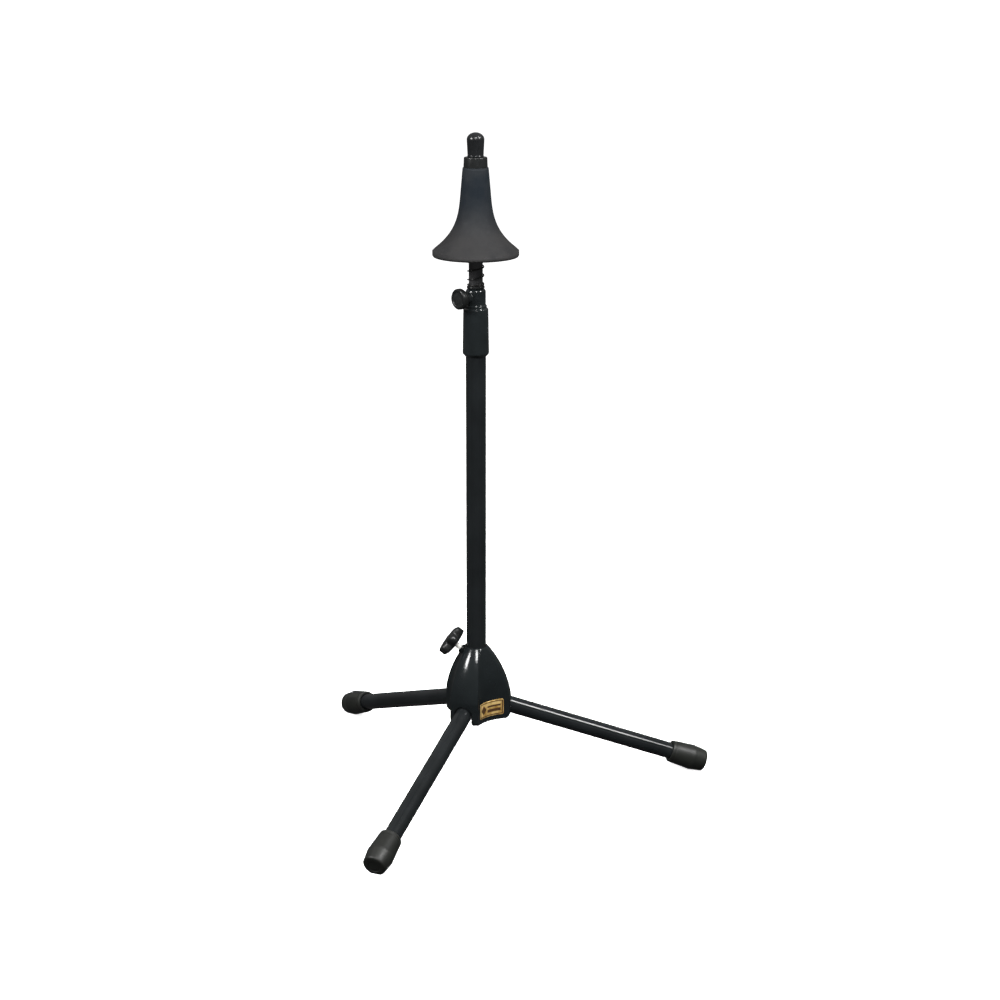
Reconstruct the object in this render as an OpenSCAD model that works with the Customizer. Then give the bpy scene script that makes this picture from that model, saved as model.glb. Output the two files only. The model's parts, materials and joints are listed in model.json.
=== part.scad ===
// Folding tripod stand for a brass instrument: a three-armed base with fold-down legs,
// a pole with a clamping collar, and a telescoping rod that carries a sprung bell cone.
// +Z is up, the floor is z = 0, the pole's axis is x = y = 0, and leg 1 points along +X.

/* [Legs] */
// Slope of a spread leg below the horizontal, degrees
leg_drop = 19.64; // [16:0.1:24]
// Outside diameter of a leg tube
leg_d = 18.8; // [18:0.1:19]
// Wall of a leg tube
leg_wall = 1.2; // [1:0.1:1.6]
// Distance along a leg from the pole's axis to the mouth of its rubber foot
foot_mouth = 238.5; // [200:0.5:300]
// Length of a rubber foot
foot_l = 42.7; // [38:0.1:50]
// Largest diameter of a rubber foot
foot_d = 28.8; // [26:0.2:30]
// Radius from the pole's axis at which each leg is pinned
pivot_r = 24; // [23.5:0.1:25]

/* [Base] */
// Outside radius of the housing at its foot
base_r = 39.2; // [38.5:0.1:40.5]
// Top of the housing above the point where the leg axes meet
base_top = 58.6; // [57:0.1:60]
// Bottom of the housing below that point
base_bottom = 24.6; // [23:0.1:26]
// Radius of the hollow side panels between the arms
panel_rho = 41.4; // [38:0.2:44]
// Radius from the pole's axis to the middle of a side panel
panel_r = 26; // [25.5:0.1:27]
// Slope of the locking bolt above the horizontal, degrees
lock_tilt = 36.5; // [35:0.5:38]
// Direction of the locking bolt about the pole, degrees
lock_az = 165; // [155:1:180]
// Diameter across the lobes of the locking knob
lock_knob_d = 37; // [34:0.5:40]

/* [Pole] */
// Outside diameter of the pole tube
pole_d = 22; // [21.8:0.1:22.2]
// Wall of the pole tube
pole_wall = 1.5; // [1.2:0.1:1.6]
// Bottom of the collar's chamfer above the point where the leg axes meet
collar_bottom = 389.5; // [360:1:420]
// Length of the collar from its chamfer to the top of its neck
collar_l = 74.2; // [70:0.2:80]
// Diameter of the height knob
height_knob_d = 22.4; // [20:0.2:24]
// Direction of the height knob about the pole, degrees
height_knob_az = 215; // [190:1:230]

/* [Rod and cone] */
// Outside diameter of the telescoping rod
rod_d = 15.2; // [15:0.1:15.4]
// How far the rod telescopes out
rod_travel = 320; // [200:5:320]
// Diameter of the bell cone's rim
cone_d = 92.8; // [86:0.2:100]
// Height from the collar's neck to the underside of the cone's rim
cone_gap = 34.2; // [30:0.2:40]
// Height of the bell cone
cone_h = 94.4; // [88:0.2:96]
// How far the cone sinks on its spring
cone_travel = 22; // [10:1:24]

/* [Hidden] */
$fn = 96;

black_metal = "#1b1f21";
black_plastic = "#232628";
soft_rubber = "#33373a";
bright_steel = "#c8ccd0";
brass = "#b08d4a";
nylon = "#d8d4c8";
gold = "#b99a55";

// Clearances
run_gap = 0.06;    // between a shaft and the bore it runs in
part_gap = 0.3;    // between faces that must never touch
end_gap = 0.05;    // between a screw's end and the pad it presses

// Leg geometry, measured along the leg from the pole's axis
leg_r = leg_d / 2;
pivot_l = pivot_r / cos(leg_drop);
fold_angle = 90 - leg_drop;
tube_start = pivot_l + 8.5;
foot_end = foot_mouth + foot_l;
belly_share = 0.62;
foot_belly = foot_mouth + belly_share * foot_l;
belly_half = 3.5;
foot_round = 4.5;
foot_toe = foot_end - foot_round;
foot_toe_r = 12.3;
socket_end = foot_end - 8;
foot_squash = 0.5;
base_span = 700;
hub_z = foot_toe * sin(leg_drop) + foot_toe_r * cos(leg_drop) - foot_squash;

// Knuckle at the leg's inner end: its nose runs in the groove of the pole's spool
heel_l = 13;
heel_angle = 45 + leg_drop / 2;
nose_r = 2.8;
nose_w = 12;
heel_t = 4.4;
neck_t = 10;
plug_l = 22;
leg_rivet_r = 1.6;
leg_rivet_at = tube_start + 5;
eye_r = 7;
eye_w = 18;
pin_r = 2.5;
pin_reach = 22;
pin_sunk = 0.2;
pivot_z = -pivot_r * tan(leg_drop);
nose_z = pivot_z - heel_l * sin(fold_angle / 2);
fold_lift = 2 * heel_l * sin(fold_angle / 2);

// Spool on the pole's lower end
groove_half = nose_r + 0.5;
flange_t = 3;
flange_r = 13.2;
spool_core_r = 7;
pole_bottom = nose_z + groove_half + flange_t;
spool_plug_l = 18;
spool_pin_z = pole_bottom + 7;
small_pin_r = 1.5;

// Housing
slot_half = 10;
arch_r = leg_r + 0.8;
cavity_r = 14.5;
wall_t = 4;
base_round = 5;
ridge_rho = 120.2;
ridge_z = -18.9;
ridge_bulge = 1.8;
panel_top_rho = 135;
panel_x = panel_r + panel_rho;
bush_bottom = 18;
bush_top = 44;
bush_r = 12.6;
boss_r = 5.2;
boss_u = 22.2;
bolt_r = 3;
pad_r = 3;
lock_meet = 41.6;
lock_pad_end = 16.6;
lock_insert_start = 18.5;
lock_insert_r = 4.1;
lock_knob_u = 28.6;
knob_socket = 9;
lock_pad_start = 8;

// Pole, collar and rod
pole_r = pole_d / 2;
pole_bore = pole_r - pole_wall;
rod_r = rod_d / 2;
rod_wall = 1.2;
collar_top = collar_bottom + collar_l;
neck_r = 10.8;
neck_l = 18.2;
step_l = 3.5;
step_r = 11.9;
shoulder = collar_top - neck_l;
body_top = shoulder - step_l;
body_top_r = 13.55;
body_foot_r = 14.3;
chamfer_l = 3.3;
pole_top = body_top - 4;
knob_z = collar_top - 9.3;
screw_r = 2.5;
height_pad_r = 3.2;
height_insert_r = 4;
height_pad_end = 9.7;
height_insert_start = 11.2;
height_boss_end = 14.2;
height_boss_r = 6;
height_knob_end = 26.2;
height_screw_end = height_knob_end - 3;
rod_overlap = 34;
rod_above = 158;
rod_bottom = pole_top - rod_travel - rod_overlap;
rod_top = collar_top + rod_above;
guide_l = 20;
guide_pin_z = rod_bottom + guide_l / 2;

// Cone and spring
cone_bottom = collar_top + cone_gap;
cone_top = cone_bottom + cone_h;
ring_l = 10.8;
ring_top = cone_top + ring_l;
rim_h = 6.4;
core_r = 12.2;
core_rise = 38;
seat_l = 2.2;
seat_r = 9.6;
cap_l = 25.8;
core_bottom = cone_bottom + core_rise;
seat_top = collar_top + seat_l;
coil_wire_r = 0.75;
coil_r = 8.6;
coil_turns = 9;
cap_top = ring_top + cap_l;

// ---------- frames ----------

// Children are drawn in a leg's frame: +X runs down the leg and z = 0 is its axis
module on_leg(i) {
    translate([0, 0, hub_z]) rotate([0, leg_drop, 120 * (i - 1)]) children();
}

// A solid turned about the leg's axis, its profile drawn as [radius, distance]
module along_leg() {
    rotate([0, 90, 0]) children();
}

// Children are drawn with +Z along the locking bolt, from where it meets the pole's axis
module on_lock_bolt() {
    translate([0, 0, hub_z + lock_meet]) rotate([0, 90 - lock_tilt, lock_az]) children();
}

// Children are drawn with +Z along the height screw, from the pole's axis
module on_height_screw() {
    translate([0, 0, hub_z + knob_z]) rotate([0, 90, height_knob_az]) children();
}

// A tube standing on z = low
module tube(r_out, r_in, low, high) {
    difference() {
        translate([0, 0, low]) cylinder(r = r_out, h = high - low);
        translate([0, 0, low - 1]) cylinder(r = r_in, h = high - low + 2);
    }
}

// A rod standing on z = low
module rod(r, low, high) {
    translate([0, 0, low]) cylinder(r = r, h = high - low);
}

// ---------- base ----------

// Outline of the bullet shape, drawn in by inset all round
module ridge_outline(inset) {
    side = base_r - inset;
    round_r = max(0.5, base_round - inset);
    intersection() {
        union() {
            translate([0, -base_bottom]) square([side - round_r, base_bottom + base_top - inset]);
            translate([0, round_r - base_bottom]) square([side, base_bottom + base_top - inset - round_r]);
            translate([side - round_r, round_r - base_bottom]) circle(r = round_r);
        }
        translate([base_r - ridge_rho + ridge_bulge, ridge_z]) circle(r = ridge_rho - inset);
    }
}

// A round cutter that hollows one side panel: straight below z = 0, flaring above it
module panel_cutter() {
    reach = panel_top_rho;
    rotate([0, 0, 60]) translate([panel_x, 0, 0]) rotate_extrude() {
        translate([0, -base_bottom - 1]) square([panel_rho, base_bottom + 1]);
        difference() {
            square([panel_rho + 20, base_top + 1]);
            translate([panel_rho + reach, 0]) circle(r = reach);
        }
    }
}

// The outside of the housing before anything is cut from its inside
module housing_form() {
    difference() {
        rotate_extrude() ridge_outline(0);
        for (i = [0:2]) rotate([0, 0, 120 * i]) panel_cutter();
    }
}

// The tunnel under one arm: an arch over the leg, open downward, with room for the leg's eye
module leg_tunnel() {
    rotate([0, leg_drop, 0]) rotate([0, 90, 0]) cylinder(r = arch_r, h = base_r + 20);
    translate([0, -slot_half, -base_bottom - 30])
        cube([base_r + 20, 2 * slot_half, 30 + base_bottom + pivot_z]);
    translate([pivot_r, 0, pivot_z]) rotate([90, 0, 0]) rod(eye_r + 1, -slot_half, slot_half);
}

// The hollow above the tunnel, leaving a wall under the ridge
module arm_hollow() {
    hollow_w = 15;
    hollow_top = 40;
    intersection() {
        rotate_extrude() ridge_outline(wall_t);
        translate([cavity_r + 3, -hollow_w / 2, -base_bottom])
            cube([base_r, hollow_w, base_bottom + hollow_top]);
    }
}

// A core pocket between two arms, open downward
module web_pocket() {
    pocket_in = cavity_r + wall_t;
    pocket_out = base_r - base_round - 1;
    pocket_top = 12;
    pocket_w = 19;
    cheek_x = (slot_half + 3) / sin(60);
    corner_x = cheek_x + pocket_w / tan(60);
    rotate([0, 0, 60]) translate([0, 0, -base_bottom - 1])
        linear_extrude(base_bottom + 1 + pocket_top) difference() {
            intersection() {
                circle(r = pocket_out);
                polygon([
                    [cheek_x, 0],
                    [corner_x, pocket_w],
                    [pocket_out, pocket_w],
                    [pocket_out, -pocket_w],
                    [corner_x, -pocket_w]
                ]);
            }
            circle(r = pocket_in);
            translate([panel_x, 0]) circle(r = panel_rho + 3);
        }
}

module base_housing() color(black_metal) {
    difference() {
        union() {
            translate([0, 0, hub_z]) housing_form();
            on_lock_bolt() rod(boss_r, lock_pad_start, boss_u);
        }
        translate([0, 0, hub_z]) {
            rod(cavity_r, -base_bottom - 1, bush_bottom - 1);
            rod(bush_r, bush_bottom - 2, bush_top);
            rod(pole_r + part_gap, 0, base_top + 1);
            for (i = [0:2]) rotate([0, 0, 120 * i]) {
                leg_tunnel();
                arm_hollow();
                web_pocket();
                translate([pivot_r, 0, pivot_z]) rotate([90, 0, 0]) rod(pin_r, -pin_reach, pin_reach);
            }
        }
        on_lock_bolt() {
            rod(pad_r + run_gap, lock_pad_start, lock_insert_start);
            rod(lock_insert_r, lock_insert_start, boss_u + 10);
        }
    }
}

module housing_bush() color(nylon) {
    translate([0, 0, hub_z]) tube(bush_r, pole_r + run_gap, bush_bottom, bush_top);
}

module lock_insert() color(brass) {
    on_lock_bolt() tube(lock_insert_r, bolt_r + run_gap, lock_insert_start, boss_u);
}

// Thin label bent into the panel between legs 1 and 3
module base_label() color(gold) {
    label_h = 18.6;
    label_w = 33.2;
    label_t = 0.35;
    rotate([0, 0, -60]) translate([panel_x, 0, hub_z - label_h]) intersection() {
        tube(panel_rho, panel_rho - label_t, 0, label_h);
        translate([-panel_rho - 1, -label_w / 2, 0]) cube([panel_rho, label_w, label_h]);
    }
}

// Pin through both cheeks of an arm, its ends dressed flush with the side panels
module pivot_pin(i) color(black_metal) {
    translate([0, 0, hub_z]) rotate([0, 0, 120 * (i - 1)]) intersection() {
        translate([pivot_r, 0, pivot_z]) rotate([90, 0, 0]) rod(pin_r, -pin_reach, pin_reach);
        housing_form();
    }
}

// ---------- legs ----------

module leg_tube(i) color(black_metal) {
    on_leg(i) difference() {
        along_leg() tube(leg_r, leg_r - leg_wall, tube_start, socket_end);
        translate([leg_rivet_at, 0, 0]) rotate([90, 0, 0]) rod(leg_rivet_r, -leg_r - 1, leg_r + 1);
    }
}

module leg_knuckle(i) color(bright_steel) {
    on_leg(i) difference() {
        union() {
            translate([pivot_l, 0, 0]) rotate([90, 0, 0]) rod(eye_r, -eye_w / 2, eye_w / 2);
            translate([pivot_l, -nose_w / 2, -neck_t / 2]) cube([tube_start - pivot_l, nose_w, neck_t]);
            along_leg() rod(leg_r - leg_wall, tube_start, tube_start + plug_l);
            translate([pivot_l, 0, 0]) rotate([0, -heel_angle, 0]) {
                translate([-heel_l, -nose_w / 2, -heel_t / 2]) cube([heel_l, nose_w, heel_t]);
                translate([-heel_l, 0, 0]) rotate([90, 0, 0]) rod(nose_r, -nose_w / 2, nose_w / 2);
            }
        }
        translate([pivot_l, 0, 0]) rotate([90, 0, 0]) rod(pin_r + run_gap, -eye_w, eye_w);
        translate([leg_rivet_at, 0, 0]) rotate([90, 0, 0]) rod(leg_rivet_r, -eye_w, eye_w);
    }
}

module leg_rivet(i) color(bright_steel) {
    on_leg(i) translate([leg_rivet_at, 0, 0]) rotate([90, 0, 0])
        rod(leg_rivet_r, pin_sunk - leg_r, leg_r - pin_sunk);
}

// Half-section of a rubber foot as [radius, distance along the leg]
module foot_outline() {
    mouth_r = leg_r + 2.9;
    lip_r = 0.8;
    belly_r = foot_d / 2;
    belly_drop = 0.45;
    polygon([
        [0, foot_mouth], [mouth_r - lip_r, foot_mouth], [mouth_r, foot_mouth + lip_r],
        [belly_r - belly_drop, foot_belly - belly_half], [belly_r, foot_belly],
        [belly_r - belly_drop, foot_belly + belly_half], [foot_toe_r, foot_toe], [0, foot_toe]
    ]);
    translate([0, foot_toe]) intersection() {
        square([foot_toe_r, foot_round]);
        union() {
            square([foot_toe_r - foot_round, foot_round]);
            translate([foot_toe_r - foot_round, 0]) circle(r = foot_round);
        }
    }
}

module rubber_foot(i) color(soft_rubber) {
    intersection() {
        on_leg(i) along_leg() difference() {
            rotate_extrude() foot_outline();
            rod(leg_r, foot_mouth - 1, socket_end);
        }
        translate([-base_span / 2, -base_span / 2, 0]) cube([base_span, base_span, base_span / 2]);
    }
}

// ---------- base lock ----------

module lock_pad() color(nylon) {
    difference() {
        on_lock_bolt() rod(pad_r, lock_pad_start, lock_pad_end);
        translate([0, 0, hub_z]) rod(pole_r + part_gap, 0, 100);
    }
}

module lock_bolt() color(bright_steel) {
    on_lock_bolt() rod(bolt_r, lock_pad_end + end_gap, lock_knob_u + knob_socket);
}

// Six-lobed knob moulded on the bolt's outer end: a skirt that widens to the lobes, and a low crown
module lock_knob() color(black_plastic) {
    lobes = 6;
    lobe_r = 5;
    lobe_t = 6.4;
    disc_r = 13.8;
    skirt_r = 5.5;
    skirt_l = 4.2;
    crown_r = 7.5;
    crown_h = 1.8;
    lobe_at = lock_knob_d / 2 - lobe_r;
    face = skirt_l + lobe_t;
    on_lock_bolt() translate([0, 0, lock_knob_u]) difference() {
        union() {
            cylinder(r1 = skirt_r, r2 = disc_r, h = skirt_l);
            translate([0, 0, skirt_l]) linear_extrude(lobe_t) {
                circle(r = disc_r);
                for (k = [1:lobes]) rotate(360 * k / lobes) translate([lobe_at, 0]) circle(r = lobe_r);
            }
            translate([0, 0, face]) cylinder(r1 = crown_r, r2 = crown_r - crown_h, h = crown_h);
        }
        rod(bolt_r, -1, knob_socket);
    }
}

// ---------- pole and collar ----------

module pole_tube() color(black_metal) {
    difference() {
        translate([0, 0, hub_z]) tube(pole_r, pole_bore, pole_bottom, pole_top);
        translate([0, 0, hub_z + spool_pin_z]) rotate([90, 0, 60])
            rod(small_pin_r, -pole_r - 1, pole_r + 1);
    }
}

module pole_spool() color(black_plastic) {
    groove_low = nose_z - groove_half;
    translate([0, 0, hub_z]) difference() {
        union() {
            rod(flange_r, groove_low - flange_t, groove_low);
            rod(spool_core_r, groove_low, pole_bottom - flange_t);
            rod(flange_r, pole_bottom - flange_t, pole_bottom);
            rod(pole_bore, pole_bottom, pole_bottom + spool_plug_l);
        }
        translate([0, 0, spool_pin_z]) rotate([90, 0, 60]) rod(small_pin_r, -pole_r - 1, pole_r + 1);
    }
}

module spool_pin() color(bright_steel) {
    translate([0, 0, hub_z + spool_pin_z]) rotate([90, 0, 60])
        rod(small_pin_r, pin_sunk - pole_r, pole_r - pin_sunk);
}

// Half-section of the collar's outside as [radius, height]
module collar_outline() {
    neck_round = 4;
    body_edge = 0.8;
    step_edge = 0.5;
    lip = 0.4;
    polygon([
        [0, collar_bottom], [pole_r + lip, collar_bottom],
        [body_foot_r, collar_bottom + chamfer_l], [body_top_r, body_top - body_edge],
        [body_top_r - body_edge, body_top], [step_r, body_top], [step_r, shoulder - step_edge],
        [step_r - step_edge, shoulder], [neck_r, shoulder],
        [neck_r, collar_top - neck_round], [0, collar_top - neck_round]
    ]);
    translate([0, collar_top - neck_round]) intersection() {
        square([neck_r, neck_round]);
        union() {
            square([neck_r - neck_round, neck_round]);
            translate([neck_r - neck_round, 0]) circle(r = neck_round);
        }
    }
}

module collar_body() color(black_plastic) {
    difference() {
        union() {
            translate([0, 0, hub_z]) rotate_extrude() collar_outline();
            on_height_screw() rod(height_boss_r, height_boss_r, height_boss_end);
        }
        translate([0, 0, hub_z]) {
            rod(pole_r, collar_bottom - 1, pole_top);
            rod(rod_r + run_gap, collar_bottom, collar_top + 1);
        }
        on_height_screw() {
            rod(height_pad_r + run_gap, 3, height_insert_start);
            rod(height_insert_r, height_insert_start, height_boss_end + 1);
        }
    }
}

module collar_insert() color(brass) {
    on_height_screw() tube(height_insert_r, screw_r + run_gap, height_insert_start, height_boss_end);
}

module height_pad() color(nylon) {
    difference() {
        on_height_screw() rod(height_pad_r, 3, height_pad_end);
        translate([0, 0, hub_z]) rod(rod_r + part_gap, knob_z - 10, knob_z + 10);
    }
}

module height_screw() color(bright_steel) {
    on_height_screw() rod(screw_r, height_pad_end + end_gap, height_screw_end);
}

module height_knob() color(black_plastic) {
    knob_r = height_knob_d / 2;
    knob_low = height_boss_end + part_gap;
    back_r = 6.8;
    disc_l = 5;
    round_r = 1.8;
    recess_r = 7.8;
    recess_h = 0.8;
    disc_low = height_knob_end - disc_l;
    rim_low = height_knob_end - round_r;
    on_height_screw() difference() {
        union() {
            translate([0, 0, knob_low]) cylinder(r1 = back_r, r2 = knob_r, h = disc_low - knob_low);
            rod(knob_r, disc_low, rim_low);
            rotate_extrude() translate([0, rim_low]) intersection() {
                square([knob_r, round_r]);
                union() {
                    square([knob_r - round_r, round_r]);
                    translate([knob_r - round_r, 0]) circle(r = round_r);
                }
            }
        }
        rod(screw_r, knob_low - 1, height_screw_end);
        rod(recess_r, height_knob_end - recess_h, height_knob_end + 1);
    }
}

// ---------- rod ----------

module inner_rod() color(black_metal) {
    translate([0, 0, hub_z]) difference() {
        tube(rod_r, rod_r - rod_wall, rod_bottom, rod_top);
        translate([0, 0, guide_pin_z]) rotate([90, 0, 0]) rod(small_pin_r, -rod_r - 1, rod_r + 1);
    }
}

module rod_guide() color(nylon) {
    translate([0, 0, hub_z]) difference() {
        tube(pole_bore - run_gap, rod_r, rod_bottom, rod_bottom + guide_l);
        translate([0, 0, guide_pin_z]) rotate([90, 0, 0]) rod(small_pin_r, -pole_bore, pole_bore);
    }
}

module guide_rivet() color(bright_steel) {
    half_l = pole_bore - run_gap - pin_sunk;
    translate([0, 0, hub_z + guide_pin_z]) rotate([90, 0, 0]) rod(small_pin_r, -half_l, half_l);
}

module spring_seat() color(black_plastic) {
    translate([0, 0, hub_z]) tube(seat_r, rod_r, collar_top + 0.1, seat_top);
}

module tip_cap() color(black_plastic) {
    foot_r = 8.65;
    head_r = 9.35;
    dome_h = 7.5;
    dome_rho = (head_r * head_r + dome_h * dome_h) / (2 * dome_h);
    cap_low = ring_top + 0.1;
    translate([0, 0, hub_z]) difference() {
        union() {
            translate([0, 0, cap_low]) cylinder(r1 = foot_r, r2 = head_r, h = cap_top - dome_h - cap_low);
            rotate_extrude() intersection() {
                translate([0, cap_top - dome_h]) square([head_r, dome_h]);
                translate([0, cap_top - dome_rho]) circle(r = dome_rho);
            }
        }
        rod(rod_r, cap_low - 1, rod_top);
    }
}

// ---------- spring and cone ----------

// A coil swept as one closed solid: rings of points round the wire, joined in turn
module coil(r, wire_r, low, high, turns) {
    sides = 6;
    per_turn = 20;
    rings = turns * per_turn;
    pitch = (high - low) / turns;
    points = [
        for (k = [0:rings], s = [0:sides - 1])
            let (a = 360 * k / per_turn, b = 360 * s / sides, q = r + wire_r * cos(b))
            [q * cos(a), q * sin(a), low + pitch * k / per_turn + wire_r * sin(b)]
    ];
    skin = [
        for (k = [0:rings - 1], s = [0:sides - 1])
            let (n = (s + 1) % sides)
            [k * sides + s, k * sides + n, (k + 1) * sides + n, (k + 1) * sides + s]
    ];
    first = [for (s = [sides - 1:-1:0]) s];
    last = [for (s = [0:sides - 1]) rings * sides + s];
    polyhedron(points, concat(skin, [first, last]), convexity = 10);
}

module cone_spring() color(black_metal) {
    translate([0, 0, hub_z]) coil(coil_r, coil_wire_r, seat_top + 0.8, core_bottom - 0.8, coil_turns);
}

module cone_core() color(black_plastic) {
    ring_foot_r = 12.9;
    ring_head_r = 12.35;
    translate([0, 0, hub_z]) difference() {
        union() {
            rod(core_r, core_bottom, cone_top);
            translate([0, 0, cone_top]) cylinder(r1 = ring_foot_r, r2 = ring_head_r, h = ring_l);
        }
        rod(rod_r + run_gap, core_bottom - 1, ring_top + 1);
    }
}

// Outside radius of the bell cone at a height above its rim's underside: a straight taper,
// and below flare_top a flare that reaches the rim's radius just above the rim
function cone_radius(h) =
    let (
        top_r = 13.85,
        taper = 0.0871,
        flare_top = 67,
        flare_power = 3.15,
        flare_extra = 0.8,
        flare = cone_d / 2 + flare_extra - top_r - taper * (cone_h - rim_h),
        t = max(0, flare_top - h) / (flare_top - rim_h)
    )
    min(cone_d / 2, top_r + taper * (cone_h - h) + flare * pow(t, flare_power));

module bell_cone() color(soft_rubber) {
    steps = 30;
    skin_t = 3;
    outside = [
        for (k = [0:steps])
            let (h = rim_h + (cone_h - rim_h) * k / steps)
            [cone_radius(h), cone_bottom + h]
    ];
    hollow_h = core_bottom - cone_bottom + 5;
    inside = [
        for (k = [steps:-1:0])
            let (h = hollow_h * k / steps)
            [max(core_r, cone_radius(h + rim_h - 1) - skin_t), cone_bottom + h]
    ];
    translate([0, 0, hub_z]) difference() {
        rotate_extrude() polygon(concat([[core_r, cone_top]], inside, [[cone_d / 2 - 1, cone_bottom]],
            [[cone_d / 2, cone_bottom + 1]], outside));
        rod(core_r, cone_bottom + 1, cone_top + 1);
    }
}

// ---------- assembly ----------

base_housing();
housing_bush();
lock_insert();
base_label();
for (i = [1:3]) {
    pivot_pin(i);
    leg_tube(i);
    leg_knuckle(i);
    leg_rivet(i);
    rubber_foot(i);
}
lock_pad();
lock_bolt();
lock_knob();
pole_tube();
pole_spool();
spool_pin();
collar_body();
collar_insert();
height_pad();
height_screw();
height_knob();
inner_rod();
rod_guide();
guide_rivet();
spring_seat();
cone_spring();
cone_core();
bell_cone();
tip_cap();
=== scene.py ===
import bpy
import json
import math
from mathutils import Matrix, Vector


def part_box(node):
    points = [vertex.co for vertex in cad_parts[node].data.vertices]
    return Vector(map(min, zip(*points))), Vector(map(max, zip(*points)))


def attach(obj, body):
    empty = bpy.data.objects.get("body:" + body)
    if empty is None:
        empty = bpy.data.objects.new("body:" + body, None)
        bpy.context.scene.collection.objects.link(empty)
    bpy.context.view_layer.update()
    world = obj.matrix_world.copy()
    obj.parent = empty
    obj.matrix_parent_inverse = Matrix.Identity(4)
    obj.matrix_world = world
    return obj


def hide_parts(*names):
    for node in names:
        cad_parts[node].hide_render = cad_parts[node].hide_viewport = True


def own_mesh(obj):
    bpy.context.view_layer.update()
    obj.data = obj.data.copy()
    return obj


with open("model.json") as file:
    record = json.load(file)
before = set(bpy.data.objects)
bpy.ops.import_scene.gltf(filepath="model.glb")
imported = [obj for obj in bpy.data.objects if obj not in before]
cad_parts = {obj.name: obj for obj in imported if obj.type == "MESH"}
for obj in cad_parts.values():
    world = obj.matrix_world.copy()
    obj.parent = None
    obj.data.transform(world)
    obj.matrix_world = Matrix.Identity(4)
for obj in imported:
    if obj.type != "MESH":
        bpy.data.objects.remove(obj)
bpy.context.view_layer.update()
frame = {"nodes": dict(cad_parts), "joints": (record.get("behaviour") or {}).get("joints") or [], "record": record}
nodes = frame["nodes"]
body_of_node = {n: b for b, ns in frame["record"]["behaviour"]["bodies"].items() for n in ns}
MM = 0.001
UP = Vector((0, 0, 1))
UPRIGHT = Matrix.Identity(4)


# ---------- places in the frame ----------

def centre(node):
    low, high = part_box(node)
    return (low + high) / 2


def axes(origin, along, side):
    """A frame at origin with Z along one direction and X near another."""
    z = along.normalized()
    y = z.cross(side).normalized()
    x = y.cross(z)
    m = Matrix((x, y, z)).transposed().to_4x4()
    m.translation = origin
    return m


def local(node, m):
    """A CAD node's vertices seen from the frame m."""
    inverse = m.inverted()
    return [inverse @ v.co for v in nodes[node].data.vertices]


def span(node, m):
    """Lowest and highest corner of a CAD node in the frame m."""
    points = local(node, m)
    return (Vector([min(p[i] for p in points) for i in range(3)]),
            Vector([max(p[i] for p in points) for i in range(3)]))


def radius(node, m):
    """Half the width of a turned CAD node, whose axis is Z in the frame m."""
    low, high = span(node, m)
    return (high.x - low.x) / 2


def leg_axes(i):
    """Z runs down leg i from its pin, and X is level."""
    pin = centre(f"pivot_pin_{i}")
    along = (centre(f"leg_tube_{i}") - pin).normalized()
    return axes(pin, along, UP.cross(along))


def joint(name):
    return next(j for j in frame["joints"] if j["name"] == name)


def screw_axes(screw, turn):
    """Z runs out along a screw, as the joint it turns on does, and X is level."""
    along = Vector(joint(turn)["axis"])
    return axes(centre(screw), along, UP.cross(along))


def hub_height():
    """Where the legs' centre lines meet on the pole's axis."""
    pin = centre("pivot_pin_1")
    run = (centre("leg_tube_1") - pin).normalized()
    return pin.z - run.z * pin.x / run.x


HUB_Z = hub_height()
BELL_Z = span("bell_cone", UPRIGHT)[0].z
CORE_R = 12.2 * MM      # the sleeve inside the bell
CAMERA_TURN = Matrix.Rotation(math.radians(-6.862), 4, "Z")


# ---------- materials ----------

def linear(r, g, b):
    """A display colour, 0 to 255, as the shader's linear colour."""
    return [((c / 255 + 0.055) / 1.055) ** 2.4 if c > 10 else c / 255 / 12.92 for c in (r, g, b)] + [1]


def scaled(colour, share):
    return [c * share for c in colour[:3]] + [1]


COAT_DUST = linear(58, 56, 53)
MOULD_DUST = linear(70, 68, 65)


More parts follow.
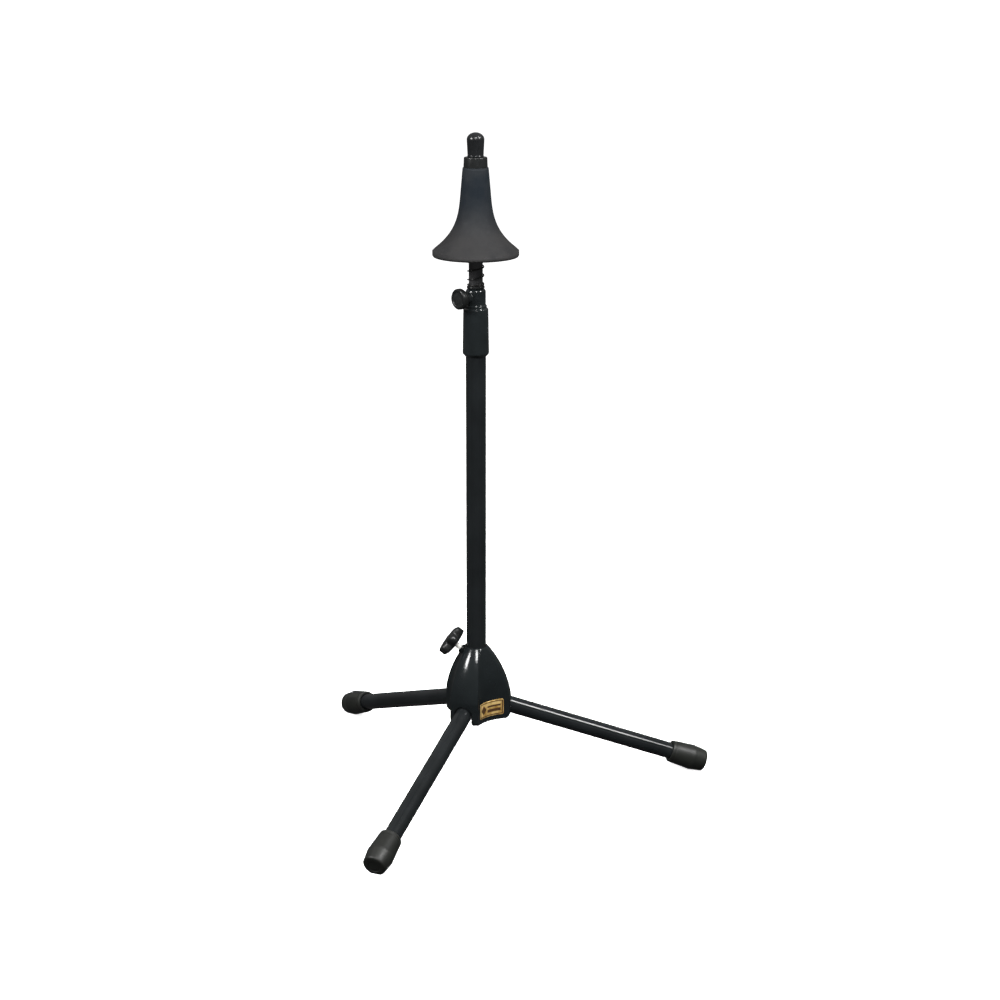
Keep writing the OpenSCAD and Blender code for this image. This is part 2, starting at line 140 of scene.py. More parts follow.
class Nodes:
    """Adds shader nodes and joins them, so that each material stays short."""

    def __init__(self, name):
        self.material = bpy.data.materials.new(name)
        self.material.use_nodes = True
        self.tree = self.material.node_tree
        self.shader = self.tree.nodes["Principled BSDF"]

    def add(self, kind, sockets=None, **settings):
        node = self.tree.nodes.new("ShaderNode" + kind)
        for key, value in settings.items():
            setattr(node, key, value)
        for key, value in (sockets or {}).items():
            if isinstance(value, bpy.types.NodeSocket):
                self.tree.links.new(value, node.inputs[key])
            else:
                node.inputs[key].default_value = value
        return node.outputs

    def place(self, stretch=(1, 1, 1)):
        where = self.add("TexCoord")["Object"]
        return self.add("Mapping", {"Vector": where, "Scale": stretch})["Vector"]

    def noise(self, size, detail=3, stretch=(1, 1, 1), rough=0.5):
        return self.add("TexNoise", {"Vector": self.place(stretch), "Scale": 1 / size,
                                     "Detail": detail, "Roughness": rough})["Fac"]

    def ramp(self, value, low, high, out_low=0.0, out_high=1.0):
        return self.add("MapRange", {"Value": value, "From Min": low, "From Max": high,
                                     "To Min": out_low, "To Max": out_high})["Result"]

    def maths(self, operation, a, b):
        return self.add("Math", {0: a, 1: b}, operation=operation)["Value"]

    def mix(self, amount, a, b):
        """Colour a where amount is 0, and b where it is 1."""
        return self.add("Mix", {0: amount, 6: a, 7: b}, data_type="RGBA")[2]

    def off(self, value, middle):
        """How far value is from middle."""
        return self.maths("ABSOLUTE", self.maths("SUBTRACT", value, middle), 0.0)

    def edges(self, low, high):
        """Bright on worn outer edges, broken up by a noise."""
        point = self.add("NewGeometry")["Pointiness"]
        return self.maths("MULTIPLY", self.ramp(point, low, high),
                          self.ramp(self.noise(3 * MM), 0.35, 0.7))

    def hollows(self):
        """Bright in corners, where dust stays."""
        return self.ramp(self.add("NewGeometry")["Pointiness"], 0.49, 0.44)

    def bump(self, height, depth, strength=1.0, under=None):
        sockets = {"Height": height, "Distance": depth, "Strength": strength}
        if under is not None:
            sockets["Normal"] = under
        return self.add("Bump", sockets)["Normal"]

    def set(self, **sockets):
        for key, value in sockets.items():
            socket = self.shader.inputs[key.replace("_", " ")]
            if isinstance(value, bpy.types.NodeSocket):
                self.tree.links.new(value, socket)
            else:
                socket.default_value = value
        return self.material


def coated(name, colour, pale, rough, peel, peel_depth, gloss, streak=None):
    """Paint or powder coat on metal: orange peel, and rubbed edges or, on a tube, fine scuffs."""
    n = Nodes(name)
    broad = n.noise(38 * MM, 4)
    fine = n.noise(peel, 2)
    tint = n.mix(n.ramp(broad, 0.35, 0.7), colour, scaled(colour, 1.5))
    if streak:
        scuffs = n.maths("MULTIPLY", n.ramp(n.noise(0.7 * MM, 2, streak), 0.70, 0.78),
                         n.ramp(broad, 0.5, 0.7, 0.0, 0.5))
        base = n.mix(scuffs, tint, pale)
    else:
        dust = n.maths("MULTIPLY", n.hollows(), n.ramp(broad, 0.4, 0.6, 0.02, 0.2))
        base = n.mix(dust, n.mix(n.edges(0.53, 0.62), tint, pale), COAT_DUST)
    dull = n.ramp(n.noise(9 * MM, 5), 0.3, 0.75, rough * 0.85, rough * 1.3)
    if streak:
        lines = n.noise(1.1 * MM, 3, streak)
        dull = n.maths("ADD", dull, n.ramp(lines, 0.45, 0.75, 0.0, 0.05))
    return n.set(Base_Color=base, Roughness=dull, Specular_IOR_Level=gloss,
                 Normal=n.bump(fine, peel_depth))


def moulded(name, colour, rough, grain, grain_depth, gloss, painted_light_fade=None):
    """Moulded plastic or rubber: fine spark grain and soft mottling, with rubbed edges or a painted light fade.

    The painted light fade is (paler colour, height where it starts to fade, height where it is gone): the paler
    colour is painted low down, standing in for the overhead light falling on the flare.
    """
    n = Nodes(name)
    broad = n.noise(22 * MM, 4)
    if painted_light_fade:
        # painted light: the colour is paler low down, standing in for the overhead light falling on the flare
        pale, start, end = painted_light_fade
        height = n.add("SeparateXYZ", {"Vector": n.add("TexCoord")["Object"]})["Z"]
        wavering = n.maths("ADD", height, n.ramp(broad, 0.3, 0.7, -4 * MM, 4 * MM))
        tint = n.mix(n.ramp(wavering, start, end), pale, colour)
        base = n.mix(n.ramp(broad, 0.3, 0.7, 0.0, 0.12), tint, MOULD_DUST)
    else:
        tint = n.mix(n.ramp(broad, 0.3, 0.7), scaled(colour, 0.8), scaled(colour, 1.35))
        dust = n.maths("MULTIPLY", n.hollows(), n.ramp(broad, 0.4, 0.7, 0.02, 0.15))
        base = n.mix(dust, n.mix(n.edges(0.53, 0.62), tint, scaled(colour, 2.2)), MOULD_DUST)
    dull = n.ramp(n.noise(6 * MM, 5), 0.3, 0.75, rough * 0.9, min(1, rough * 1.2))
    flow = n.bump(n.noise(14 * MM, 2), 0.15 * MM, 0.5)
    return n.set(Base_Color=base, Roughness=dull, Specular_IOR_Level=gloss,
                 Normal=n.bump(n.noise(grain, 2), grain_depth, 1.0, flow))


def bare_metal(name, colour, rough, stretch, metal=1.0):
    """Turned or plated metal: fine lines round it, stains, and a little tarnish in the corners."""
    n = Nodes(name)
    lines = n.noise(0.5 * MM, 3, stretch)
    stain = n.ramp(n.noise(5 * MM, 5), 0.5, 0.8)
    base = n.mix(n.maths("MULTIPLY", stain, 0.5), colour, scaled(colour, 0.45))
    base = n.mix(n.maths("MULTIPLY", n.hollows(), 0.7), base, scaled(colour, 0.15))
    dull = n.ramp(lines, 0.3, 0.8, rough * 0.7, rough * 1.6)
    return n.set(Base_Color=base, Roughness=dull, Metallic=metal, Normal=n.bump(lines, 0.01 * MM, 0.6))


def printed_gold(name):
    """Brushed gold foil with a dark rule round it, a plain lozenge and two plain bars.

    The print is laid out on the label's UV square, and widths are shares of its height.
    """
    n = Nodes(name)
    aspect = 1.78
    uv = n.add("SeparateXYZ", {"Vector": n.add("TexCoord")["UV"]})
    across, up = uv["X"], uv["Y"]
    brushed = n.noise(0.25 * MM, 3, (1, 1, 30))
    patch = n.noise(6 * MM, 4)
    gold = n.mix(n.ramp(patch, 0.35, 0.65), linear(160, 122, 58), linear(228, 196, 130))
    side = n.maths("SUBTRACT", 0.5, n.off(across, 0.5))
    top = n.maths("SUBTRACT", 0.5, n.off(up, 0.5))
    edge = n.maths("MINIMUM", n.maths("MULTIPLY", side, aspect), top)
    rule = n.maths("MULTIPLY", n.ramp(edge, 0.045, 0.055), n.ramp(edge, 0.115, 0.105))
    lozenge = n.ramp(n.maths("ADD", n.maths("MULTIPLY", n.off(across, 0.2), aspect),
                             n.maths("MULTIPLY", n.off(up, 0.5), 0.75)), 0.24, 0.22)
    in_bar = n.maths("MULTIPLY", n.ramp(across, 0.37, 0.38), n.ramp(across, 0.9, 0.89))
    stripes = n.maths("MAXIMUM", n.ramp(n.off(up, 0.64), 0.065, 0.055),
                      n.ramp(n.off(up, 0.36), 0.1, 0.09))
    bars = n.maths("MULTIPLY", in_bar, stripes)
    printed = n.maths("MAXIMUM", rule, n.maths("MAXIMUM", lozenge, bars))
    ink = n.maths("MULTIPLY", printed, n.ramp(n.noise(0.8 * MM, 3), 0.2, 0.4, 0.75, 1.0))
    dull = n.ramp(brushed, 0.3, 0.7, 0.32, 0.5)
    return n.set(Base_Color=n.mix(ink, gold, linear(58, 36, 16)), Roughness=dull,
                 Metallic=n.ramp(ink, 0.0, 1.0, 0.55, 0.1),
                 Normal=n.bump(n.maths("SUBTRACT", brushed, ink), 0.02 * MM, 0.5))


def make_finishes():
    """One material for each slot of the record, and cap_black, which is duller than the cap's slot."""
    coats = {       # colour, rubbed colour, roughness, orange peel and its depth, gloss, tube's streaks
        "cast_black": (linear(15, 18, 19), linear(52, 53, 53), 0.13, 2.4 * MM, 0.06 * MM, 0.24),
        "tube_black": (linear(17, 19, 20), linear(56, 57, 57), 0.15, 1.4 * MM, 0.002 * MM, 0.22,
                       (1, 1, 0.05)),
        "rod_black": (linear(38, 38, 39), linear(70, 70, 68), 0.25, 0.6 * MM, 0.005 * MM, 0.25,
                      (1, 1, 0.04)),
        "spring_black": (linear(15, 16, 16), linear(70, 70, 68), 0.4, 0.5 * MM, 0.01 * MM, 0.2),
    }
    # painted light on the bell: its flare and rim are painted paler, standing in for the overhead light that falls
    # on them
    painted_light_fade = (linear(30, 30, 31), BELL_Z + 22 * MM, BELL_Z + 56 * MM)
    mouldings = {   # colour, roughness, grain and its depth, gloss, painted light fade
        "gloss_black": (linear(18, 21, 22), 0.13, 0.5 * MM, 0.003 * MM, 0.35),
        "moulded_black": (linear(17, 18, 18), 0.28, 0.35 * MM, 0.012 * MM, 0.28),
        "cap_black": (linear(19, 20, 21), 0.24, 0.5 * MM, 0.003 * MM, 0.25),
        "foot_rubber": (linear(20, 21, 19), 0.44, 0.5 * MM, 0.018 * MM, 0.26),
        "nylon": (linear(205, 200, 184), 0.45, 0.8 * MM, 0.01 * MM, 0.5),
        "cone_rubber": (linear(17, 22, 27), 0.62, 0.4 * MM, 0.008 * MM, 0.08, painted_light_fade),
    }
    metals = {      # colour, roughness, how the turned lines are squeezed, metallic
        # painted reflection: the plated bolt is near white with little metal, standing in for the bright studio it
        # reflects
        "chrome": (linear(252, 251, 246), 0.35, (1, 1, 6), 0.15),
        "steel": (linear(170, 172, 174), 0.3, (1, 1, 4)),
        "brass": (linear(200, 168, 96), 0.25, (1, 1, 5)),
    }
    made = {"gold_label": printed_gold("gold_label")}
    for build, looks in ((coated, coats), (moulded, mouldings), (bare_metal, metals)):
        made.update({name: build(name, *look) for name, look in looks.items()})
    return made


FINISH = make_finishes()
SLOT_OF = {p["node"]: p["material_slot"] for p in frame["record"]["subparts"]}


# ---------- mesh building ----------

def turns(sides):
    """Angles all the way round."""
    return [2 * math.pi * k / sides for k in range(sides)]


def polar(r, a, z):
    return (r * math.cos(a), r * math.sin(a), z)


def tube_faces(rows, sides):
    """Faces of a tube of that many rows of points, with both its ends closed."""
    faces = []
    for a in range(0, (rows - 1) * sides, sides):
        for k in range(sides):
            n = (k + 1) % sides
            faces.append([a + k, a + n, a + sides + n, a + sides + k])
    return faces + [list(range(sides))[::-1], [(rows - 1) * sides + k for k in range(sides)]]


def piece(name, points, faces, m, stands_for, finish=None):
    """A new smooth mesh that rides with the CAD node it stands for and takes its finish."""
    mesh = bpy.data.meshes.new(name)
    mesh.from_pydata([m @ Vector(p) for p in points], [], faces)
    mesh.validate()
    return settle(name, mesh, stands_for, finish)


def settle(name, mesh, stands_for, finish=None):
    """Puts a mesh in a CAD node's place, on its body and in its slot's finish or a named one."""
    obj = bpy.data.objects.new(name, mesh)
    bpy.context.scene.collection.objects.link(obj)
    mesh.polygons.foreach_set("use_smooth", [True] * len(mesh.polygons))
    mesh.materials.clear()
    mesh.materials.append(FINISH[finish or SLOT_OF[stands_for]])
    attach(obj, body_of_node[stands_for])
    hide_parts(stands_for)
    return obj


def rounded(corners, steps=6):
    """A half-section drawn as (radius, height, fillet) corners, with each corner rounded."""
    line = []
    for k, (r, z, fillet) in enumerate(corners):
        here = Vector((r, z))
        if not fillet or k in (0, len(corners) - 1):
            line.append(here)
            continue
        before, after = Vector(corners[k - 1][:2]), Vector(corners[k + 1][:2])
        a, b = (before - here).normalized(), (after - here).normalized()
        turn = a.angle(b)
        room = 0.49 * min((before - here).length, (after - here).length)
        cut = min(fillet / math.tan(turn / 2), room)
        start, end = here + a * cut, here + b * cut
        for s in range(steps + 1):
            t = s / steps
            line.append(start.lerp(here, t).lerp(here.lerp(end, t), t))
    return line


def lathe(name, line, m, stands_for, sides=128, closed=False, finish=None):
    """Turns a half-section round the Z axis of m. A closed one is a ring, such as a tube."""
    points, faces, rows = [], [], []
    for r, z in line:
        if r < 1e-7:
            rows.append([len(points)])
            points.append((0, 0, z))
        else:
            rows.append(list(range(len(points), len(points) + sides)))
            points += [polar(r, a, z) for a in turns(sides)]
    for a, b in zip(rows, rows[1:] + rows[:1] if closed else rows[1:]):
        for k in range(sides):
            n = (k + 1) % sides
            face = list(dict.fromkeys([a[k % len(a)], a[n % len(a)], b[n % len(b)], b[k % len(b)]]))
            if len(face) > 2:
                faces.append(face)
    return piece(name, points, faces, m, stands_for, finish)


def soft_cast(name, node, grain, relax):
    """The CAD solid with its edges worn round, by relax passes over a mesh of that grain."""
    obj = bpy.data.objects.new(name + ".work", nodes[node].data.copy())
    bpy.context.scene.collection.objects.link(obj)
    fill = obj.modifiers.new("fill", "REMESH")
    fill.mode = "VOXEL"
    fill.voxel_size = grain
    ease = obj.modifiers.new("ease", "SMOOTH")
    ease.factor = 0.5
    ease.iterations = relax
    shape = bpy.data.meshes.new_from_object(obj.evaluated_get(bpy.context.evaluated_depsgraph_get()))
    shape.name = name
    bpy.data.objects.remove(obj)
    return settle(name, shape, node)


def outline(node, m):
    """The outside half-section of a turned CAD node, as (radius, height) going up."""
    rings, points = {}, local(node, m)
    for face in nodes[node].data.polygons:
        middle = m.inverted() @ face.center
        facing = m.inverted().to_3x3() @ face.normal
        if facing.x * middle.x + facing.y * middle.y < 0.02 * math.hypot(middle.x, middle.y):
            continue
        for k in face.vertices:
            p = points[k]
            key = round(p.z, 5)
            rings[key] = max(rings.get(key, 0), math.hypot(p.x, p.y))
    return [(rings[z], z) for z in sorted(rings)]


def eased(line, passes):
    """A finer line through the same points, with its corners softened."""
    for _ in range(passes):
        finer = [line[0]]
        for (r0, z0), (r1, z1) in zip(line, line[1:]):
            finer += [(0.75 * r0 + 0.25 * r1, 0.75 * z0 + 0.25 * z1),
                      (0.25 * r0 + 0.75 * r1, 0.25 * z0 + 0.75 * z1)]
        line = finer + [line[-1]]
    return line


def threaded(name, m, node, pitch, depth, plain=0.0):
    """A bolt with a rolled thread, a plain shank of that length at its outer end, and bevelled ends."""
    low, high = span(node, m)
    r, sides, rows_per_pitch = radius(node, m), 40, 14
    count = int((high.z - low.z) / pitch * rows_per_pitch)
    points = []
    for j in range(count + 1):
        z = low.z + (high.z - low.z) * j / count
        room = min(z - low.z, high.z - z)
        bevel = max(0.0, 1.5 * depth - room)
        for k, a in enumerate(turns(sides)):
            turn = (z / pitch - k / sides) % 1
            groove = depth * (1 - abs(2 * turn - 1)) * min(1, max(0, (high.z - plain - z) / pitch))
            points.append(polar(r - max(groove, bevel), a, z))
    return piece(name, points, tube_faces(count + 1, sides), m, node)


# ---------- the pieces ----------

def make_foot(i):
    """Rubber foot: lipped mouth, swelling body, soft belly ridge, rounded toe with a sunk disc."""
    m, node = leg_axes(i), f"rubber_foot_{i}"
    shape = outline(node, m)
    low, end = shape[0][1], shape[-1][1]
    belly_r = max(r for r, _ in shape)
    belly_z = next(z for r, z in shape if r == belly_r)
    mouth_r = next(r for r, z in shape if z > low + 0.5 * MM)
    tube = f"leg_tube_{i}"
    bore_r, bore_z = radius(tube, m), span(tube, m)[1].z
    toe_r = belly_r - 2.3 * MM
    corners = [
        (0, bore_z, 0), (bore_r, bore_z, 0),
        (bore_r, low + 0.4 * MM, 0.3 * MM), (bore_r + 0.5 * MM, low, 0.5 * MM),
        (mouth_r, low, 0.8 * MM), (mouth_r + 0.3 * MM, low + 2.4 * MM, 0.5 * MM),
        (mouth_r, low + 3.1 * MM, 0.5 * MM), (mouth_r + 0.5 * MM, low + 4.6 * MM, 1.0 * MM),
        (belly_r - 0.4 * MM, belly_z - 4 * MM, 3.0 * MM), (belly_r, belly_z, 1.5 * MM),
        (belly_r - 0.5 * MM, belly_z + 3.5 * MM, 2.5 * MM), (toe_r, end, 4.4 * MM),
        (0.58 * toe_r, end, 0.3 * MM), (0.56 * toe_r, end - 0.5 * MM, 0.3 * MM), (0, end - 0.2 * MM, 0),
    ]
    foot = lathe(f"foot_{i}", rounded(corners), m, node, 144)
    for v in foot.data.vertices:    # it stands flat on the floor
        v.co.z = max(v.co.z, 0)


def make_cone():
    """Rubber bell: a thin flared skirt with a rolled rim, and a collar bonded to its core."""
    shape = outline("bell_cone", UPRIGHT)
    core_z = span("cone_core", UPRIGHT)[0].z + 2 * MM
    low, high = shape[0][1], shape[-1][1]
    body = [(r, z) for r, z in shape if z > low + 6.3 * MM]
    rim_r = max(r for r, _ in shape)
    skirt = eased(body, 2)
    inner = [(max(CORE_R + 0.02 * MM, r - 3 * MM), z - 5 * MM) for r, z in skirt if z < core_z]
    rim = rounded([(rim_r - 4 * MM, low + 2.5 * MM, 0), (rim_r - 3 * MM, low + 0.4 * MM, 1.2 * MM),
                   (rim_r - 1 * MM, low, 1.0 * MM), (rim_r, low + 1.6 * MM, 1.4 * MM),
                   (rim_r, low + 6.1 * MM, 0.4 * MM), (body[0][0], body[0][1], 0)])
    top_r, top_z = skirt[-1]
    top = rounded([(top_r, top_z - 1.6 * MM, 0), (top_r, high, 0.8 * MM), (CORE_R, high, 0)])
    outer = [p for p in skirt[1:] if p[1] < high - 1.6 * MM]
    line = [(CORE_R, core_z), *inner[::-1], *rim, *outer, *top]
    lathe("bell_skirt", line, UPRIGHT, "bell_cone", 192, closed=True)


def make_core():
    """The moulded sleeve in the bell, with the ring that stands on top of it."""
    low, high = (corner.z for corner in span("cone_core", UPRIGHT))
    bore = radius("inner_rod", UPRIGHT) + 0.06 * MM
    base = span("bell_cone", UPRIGHT)[1].z
    ring_r = radius("cone_core", UPRIGHT)
    corners = [
        (bore, low, 0), (CORE_R, low, 0.5 * MM), (CORE_R, base, 0),
        (ring_r, base + 0.05 * MM, 0.6 * MM), (ring_r - 0.5 * MM, high, 0.9 * MM),
        (bore + 0.8 * MM, high, 0.4 * MM), (bore, high - 0.8 * MM, 0),
    ]
    lathe("cone_ring", rounded(corners), UPRIGHT, "cone_core", 144, closed=True)


def make_cap():
    """Domed cap on the rod's end, its skirt flaring slightly upward."""
    shape = outline("tip_cap", UPRIGHT)
    low, high = shape[0][1], shape[-1][1]
    bore, top = radius("inner_rod", UPRIGHT), span("inner_rod", UPRIGHT)[1].z
    foot_r, head_r = shape[0][0], max(r for r, _ in shape)
    rise, steps = 7.5 * MM, 24
    dome = [(head_r * math.cos(t), high - rise + rise * math.sin(t))
            for t in (math.pi / 2 * k / steps for k in range(1, steps + 1))]
    corners = [
        (0, top, 0), (bore, top, 0), (bore, low, 0), (foot_r, low, 0.4 * MM),
        (foot_r + 0.05 * MM, low + 1.4 * MM, 0.3 * MM), (foot_r - 0.12 * MM, low + 1.8 * MM, 0.3 * MM),
        (head_r, high - 7.8 * MM, 0.6 * MM), (*dome[0], 0),
    ]
    lathe("rod_cap", rounded(corners, 10) + dome[1:], UPRIGHT, "tip_cap", finish="cap_black")


def make_seat():
    """Flanged washer that the spring stands on."""
    low, high = (corner.z for corner in span("spring_seat", UPRIGHT))
    bore, r = radius("inner_rod", UPRIGHT), radius("spring_seat", UPRIGHT)
    corners = [(bore, low, 0), (r, low, 0.3 * MM), (r, high, 0.6 * MM), (bore, high, 0)]
    lathe("spring_washer", rounded(corners), UPRIGHT, "spring_seat", 96, closed=True)


def make_spring():
    """Round-wire spring with its end turns closed up, built at one length; the real spring shortens as the cone
    sinks.
    """
    low, high = span("cone_spring", UPRIGHT)
    wire, coils, per_coil, sides = 0.75 * MM, 9, 40, 12
    r, start, end = radius("cone_spring", UPRIGHT) - wire, low.z + wire, high.z - wire
    count = coils * per_coil
    closed = 2.1 * wire / (end - start)
    points = []
    for k in range(count + 1):
        t = k / count
        lead = min(1, t * coils)
        tail = min(1, (1 - t) * coils)
        climb = min(1, max(0, (t * coils - 1) / (coils - 2)))
        height = closed * (lead + 1 - tail) + (1 - 2 * closed) * climb
        a = 2 * math.pi * t * coils
        for b in turns(sides):
            z = start + (end - start) * height + wire * math.sin(b)
            points.append(polar(r + wire * math.cos(b), a, z))
    spring = piece("coil_spring", points, tube_faces(count + 1, sides), UPRIGHT, "cone_spring")
    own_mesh(spring)


def make_label():
    """Thin foil label bent into the hollow panel, with a raised bead inside its edge.

    X runs out through the label, Y across it and Z up. It is two grids, the back and the face,
    joined round their rims. rho is the radius that the panel is hollowed to.
    """
    m = axes(Vector((0, 0, 0)), UP, Matrix.Rotation(math.radians(-60), 3, "Z") @ Vector((1, 0, 0)))
    points = local("base_label", m)
    half = max(abs(p.y) for p in points)
    low, high = min(p.z for p in points), max(p.z for p in points)
    near = min(p.x for p in points)
    far = max(p.x for p in points if abs(p.y) > half - 0.01 * MM)
    mid = max(p.x for p in points if abs(p.y) < 1 * MM)
    rho = (half ** 2 + (far - mid) ** 2) / (2 * (far - mid))
    back, face = near + 0.02 * MM, mid
    inset, corner, nu, nv = 0.15 * MM, 1.6 * MM, 132, 74
    w, h = half - inset, (high - low) / 2 - inset
    verts, faces, uvs = [], [], []

    def lifted(edge):
        bead = math.exp(-((edge - 1.35 * MM) / (0.28 * MM)) ** 2)
        return (face - back) * (0.55 + 0.45 * bead) * min(1, 0.3 + edge / (0.25 * MM))

    for side in (0, 1):
        for j in range(nv + 1):
            for k in range(nu + 1):
                y, z = w * (2 * k / nu - 1), h * (2 * j / nv - 1)
                edge = min(w - abs(y), h - abs(z))
                dy, dz = abs(y) - (w - corner), abs(z) - (h - corner)
                if dy > 0 and dz > 0:
                    pull = max(dy, dz) / math.hypot(dy, dz)
                    edge = corner - max(dy, dz)
                    y = math.copysign(w - corner + dy * pull, y)
                    z = math.copysign(h - corner + dz * pull, z)
                out = lifted(max(edge, 0)) if side else 0
                r = rho + (mid - back) - out
                x = back + rho + (mid - back) - math.sqrt(r * r - y * y)
                verts.append((x, y, (low + high) / 2 + z))
                uvs.append((0.5 + y / w / 2, 0.5 + z / h / 2))
    row, layer = nu + 1, (nu + 1) * (nv + 1)
    for j in range(nv):
        for k in range(nu):
            a = j * row + k
            faces.append([a, a + row, a + row + 1, a + 1])
            faces.append([layer + a, layer + a + 1, layer + a + row + 1, layer + a + row])
    rim = list(range(nu)) + [j * row + nu for j in range(nv)] \
        + [nv * row + nu - k for k in range(nu)] + [(nv - j) * row for j in range(nv)]
    for a, b in zip(rim, rim[1:] + rim[:1]):
        faces.append([a, b, layer + b, layer + a])
    label = piece("foil_label", verts, faces, m, "base_label")
    layer_uv = label.data.uv_layers.new(name="UVMap")
    for loop in label.data.loops:
        layer_uv.data[loop.index].uv = uvs[loop.vertex_index]


def make_castings():
    soft_cast("base_casting", "base_housing", 0.6 * MM, 14)
    soft_cast("clamp_collar", "collar_body", 0.32 * MM, 3)
    soft_cast("pole_foot_spool", "pole_spool", 0.4 * MM, 2)


def make_star_knob():
    """Lock knob: full lobes round a domed crown, on a skirt that the bolt runs into."""
    m, sides, lobes, fullness = screw_axes("lock_bolt", "lock_turn"), 240, 6, 0.8
    tip = max(local("lock_knob", m), key=lambda p: math.hypot(p.x, p.y))
    r, phase = math.hypot(tip.x, tip.y), math.atan2(tip.y, tip.x)
    low, high = (corner.z for corner in span("lock_knob", m))
    bolt_end, bore, core = span("lock_bolt", m)[1].z, radius("lock_bolt", m), 0.7 * r
    rows = [    # height, radius between the lobes, and how much of the lobes there is
        (bolt_end, bore, 0), (low, bore, 0), (low, 0.62 * core, 0),
        (low + 0.3 * MM, 0.7 * core, 0.1), (low + 1.0 * MM, 0.86 * core, 0.62),
        (low + 1.8 * MM, 0.95 * core, 0.88), (low + 2.8 * MM, core, 1),
        (high - 2.8 * MM, core, 1), (high - 1.8 * MM, 0.97 * core, 0.95),
        (high - 1.0 * MM, 0.91 * core, 0.8), (high - 0.4 * MM, 0.82 * core, 0.5),
        (high, 0.7 * core, 0.2), (high + 0.2 * MM, 0.55 * core, 0),
        (high + 0.5 * MM, 0.4 * core, 0), (high + 0.5 * MM, 0.3 * core, 0),
        (high + 0.2 * MM, 0.25 * core, 0),
    ]
    points = []
    for z, q, share in rows:
        for a in turns(sides):
            lobe = (0.5 + 0.5 * math.cos(lobes * (a - phase))) ** fullness
            points.append(polar(q + share * (r - core) * lobe, a, z))
    piece("star_knob", points, tube_faces(len(rows), sides), m, "lock_knob")


def make_round_knob():
    """Height knob: a disc on a tapered back, with a rounded edge and a sunk face."""
    m = screw_axes("height_screw", "height_turn")
    shape = outline("height_knob", m)
    low, high, back_r = shape[0][1], shape[-1][1], shape[0][0]
    r = max(q for q, _ in shape)
    disc = next(z for q, z in shape if q > r - 0.01 * MM)
    screw_end, bore = span("height_screw", m)[1].z, radius("height_screw", m)
    corners = [
        (0, screw_end, 0), (bore, screw_end, 0), (bore, low, 0), (back_r, low, 0.5 * MM),
        (r, disc, 1.4 * MM), (r, high - 1.2 * MM, 0.8 * MM), (r - 1.2 * MM, high, 0.8 * MM),
        (r - 2.9 * MM, high, 0.5 * MM), (r - 3.5 * MM, high - 0.8 * MM, 0.4 * MM),
        (r - 6 * MM, high - 0.7 * MM, 0.5 * MM), (0, high - 0.5 * MM, 0),
    ]
    lathe("round_knob", rounded(corners), m, "height_knob")


def make_screws():
    bolt, screw = screw_axes("lock_bolt", "lock_turn"), screw_axes("height_screw", "height_turn")
    threaded("clamp_bolt", bolt, "lock_bolt", pitch=1.0 * MM, depth=0.35 * MM, plain=18 * MM)
    threaded("clamp_screw", screw, "height_screw", pitch=0.8 * MM, depth=0.3 * MM)


def finish_frame_nodes():
    """The CAD nodes still shown get their slot's material."""
    for name, obj in nodes.items():
        if not obj.hide_render:
            obj.data.materials.clear()
            obj.data.materials.append(FINISH[SLOT_OF[name]])


# ---------- stage, lights and camera ----------

def staged(name, points, faces, material):
    """A part of the stage: only the camera sees it, so it lights nothing and dulls no reflection."""
    mesh = bpy.data.meshes.new(name)
    mesh.from_pydata(points, [], faces)
    mesh.materials.append(material)
    obj = bpy.data.objects.new(name, mesh)
    bpy.context.scene.collection.objects.link(obj)
    obj.visible_diffuse = False
    obj.visible_glossy = False
    return obj


def make_stage():
    """A white floor with a white wall far behind it, for the views that look over the floor's edge."""
    n = Nodes("pale_floor")
    shade = n.mix(n.ramp(n.noise(0.05, 3), 0.3, 0.7), linear(252, 252, 252), linear(254, 254, 254))
    pale = n.set(Base_Color=shade, Roughness=0.9, Specular_IOR_Level=0.1,
                 Emission_Color=(1, 1, 1, 1), Emission_Strength=0.75)
    sides, size, drop, wall = 64, 30, 0.2 * MM, 18
    base, top = ([polar(size, a, z) for a in turns(sides)] for z in (-drop, wall))
    staged("floor", base, [list(range(sides))], pale)
    backdrop = staged("backdrop", base + top, tube_faces(2, sides)[:-2], pale)      # without its ends
    backdrop.visible_shadow = False


def soft_light(name, direction, distance, width, height, radiance):
    """A softbox that far from the object, in a direction given with Y along the camera's heading."""
    light = bpy.data.lights.new(name, "AREA")
    light.shape = "RECTANGLE"
    light.size, light.size_y = width, height
    light.energy = radiance * width * height * math.pi
    obj = bpy.data.objects.new(name, light)
    bpy.context.scene.collection.objects.link(obj)
    aim = Vector((0, 0, HUB_Z + 0.15))
    way = (CAMERA_TURN @ Vector(direction)).normalized()
    obj.location = aim + way * distance
    obj.rotation_euler = way.to_track_quat("Z", "Y").to_euler()
    return obj


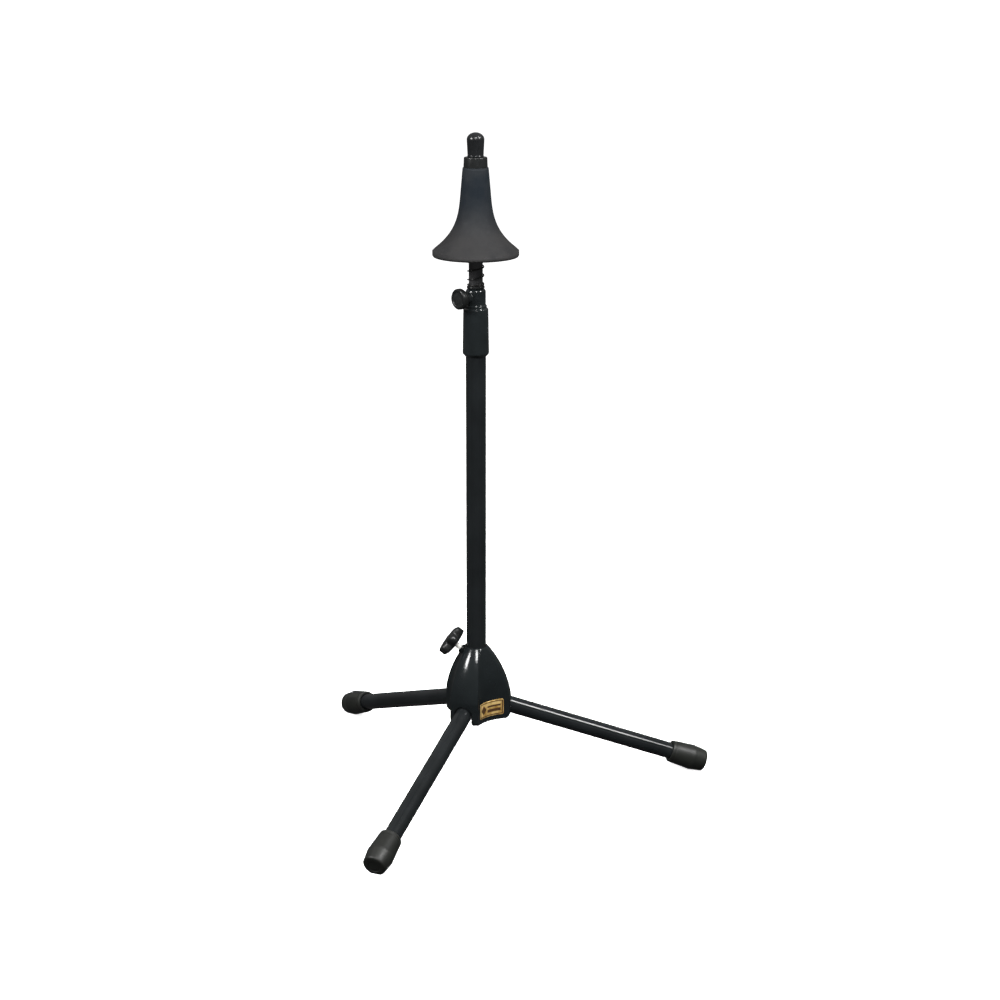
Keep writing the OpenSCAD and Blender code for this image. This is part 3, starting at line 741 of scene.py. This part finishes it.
def make_lights():
    soft_light("key_right", (0.607, -0.269, 0.747), 1.9, 0.25, 0.8, 74)
    soft_light("key_left", (-0.694, -0.405, 0.595), 1.9, 0.4, 0.5, 65)
    soft_light("fill_front", (0.07, -0.63, 0.773), 2.0, 0.45, 0.45, 60)
    soft_light("fill_low", (0.25, -0.94, 0.22), 1.9, 0.6, 0.3, 19).visible_glossy = False
    world = bpy.data.worlds.new("studio")
    world.use_nodes = True
    tree = world.node_tree
    where = tree.nodes.new("ShaderNodeTexCoord")
    split = tree.nodes.new("ShaderNodeSeparateXYZ")
    fade = tree.nodes.new("ShaderNodeMapRange")
    tree.links.new(where.outputs["Generated"], split.inputs[0])
    tree.links.new(split.outputs["Z"], fade.inputs["Value"])
    for socket, value in (("From Min", -0.06), ("From Max", 0.0), ("To Min", 0.07), ("To Max", 0.12)):
        fade.inputs[socket].default_value = value      # darker below the horizon
    climb = tree.nodes.new("ShaderNodeMapRange")
    tree.links.new(split.outputs["Z"], climb.inputs["Value"])
    climb.inputs["To Max"].default_value = 0.38         # and brighter towards the top
    total = tree.nodes.new("ShaderNodeMath")
    tree.links.new(fade.outputs["Result"], total.inputs[0])
    tree.links.new(climb.outputs["Result"], total.inputs[1])
    tree.links.new(total.outputs[0], tree.nodes["Background"].inputs["Strength"])
    tree.nodes["Background"].inputs["Color"].default_value = (1, 1, 1, 1)
    bpy.context.scene.world = world


def make_camera():
    data = bpy.data.cameras.new("camera")
    data.sensor_width = 36
    data.lens = 72.956
    data.shift_x, data.shift_y = 0.01305, -0.02556
    data.clip_end = 100
    camera = bpy.data.objects.new("camera", data)
    bpy.context.scene.collection.objects.link(camera)
    pitch = math.radians(15.119)
    camera.location = CAMERA_TURN @ Vector((0.01197, -2.14639, HUB_Z + 0.83688))
    facing = CAMERA_TURN @ Vector((0, math.cos(pitch), -math.sin(pitch)))
    camera.rotation_euler = facing.to_track_quat("-Z", "Y").to_euler()
    bpy.context.scene.camera = camera


make_camera()
make_lights()
make_stage()
make_castings()
make_star_knob()
for leg in (1, 2, 3):
    make_foot(leg)
make_cone()
make_core()
make_cap()
make_seat()
make_spring()
make_label()
make_round_knob()
make_screws()
finish_frame_nodes()
bpy.context.scene.view_settings.view_transform = "Standard"
